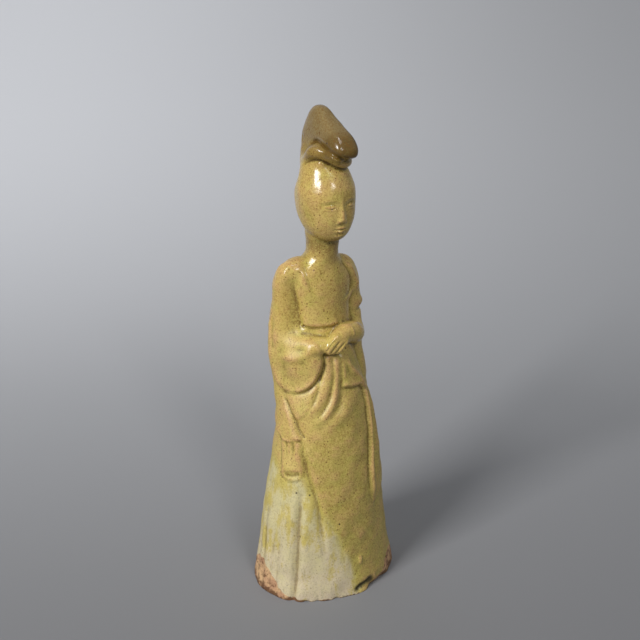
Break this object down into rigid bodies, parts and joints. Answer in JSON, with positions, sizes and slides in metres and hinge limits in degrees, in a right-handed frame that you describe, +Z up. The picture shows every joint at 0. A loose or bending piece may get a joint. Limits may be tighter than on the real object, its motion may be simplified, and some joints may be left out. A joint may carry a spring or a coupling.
{
  "type": "glazed court lady figure",
  "caption": "Standing court lady figurine of straw-glazed clay, with a tall topknot, folded hands, wide sleeves and a pleated skirt.",
  "frame": {"origin": "middle of the flat foot", "axes": "+Z up through the figure, -Y the way her face looks, +X to her left"},
  "size_m": [0.0948, 0.0766, 0.3],
  "materials": {
    "straw_glaze": "glossy transparent straw-yellow glaze over buff clay, with brown pinholes; matt and bare at the hem"
  },
  "bodies": {
    "root": {"court_lady": "straw_glaze"}
  },
  "joints": []
}
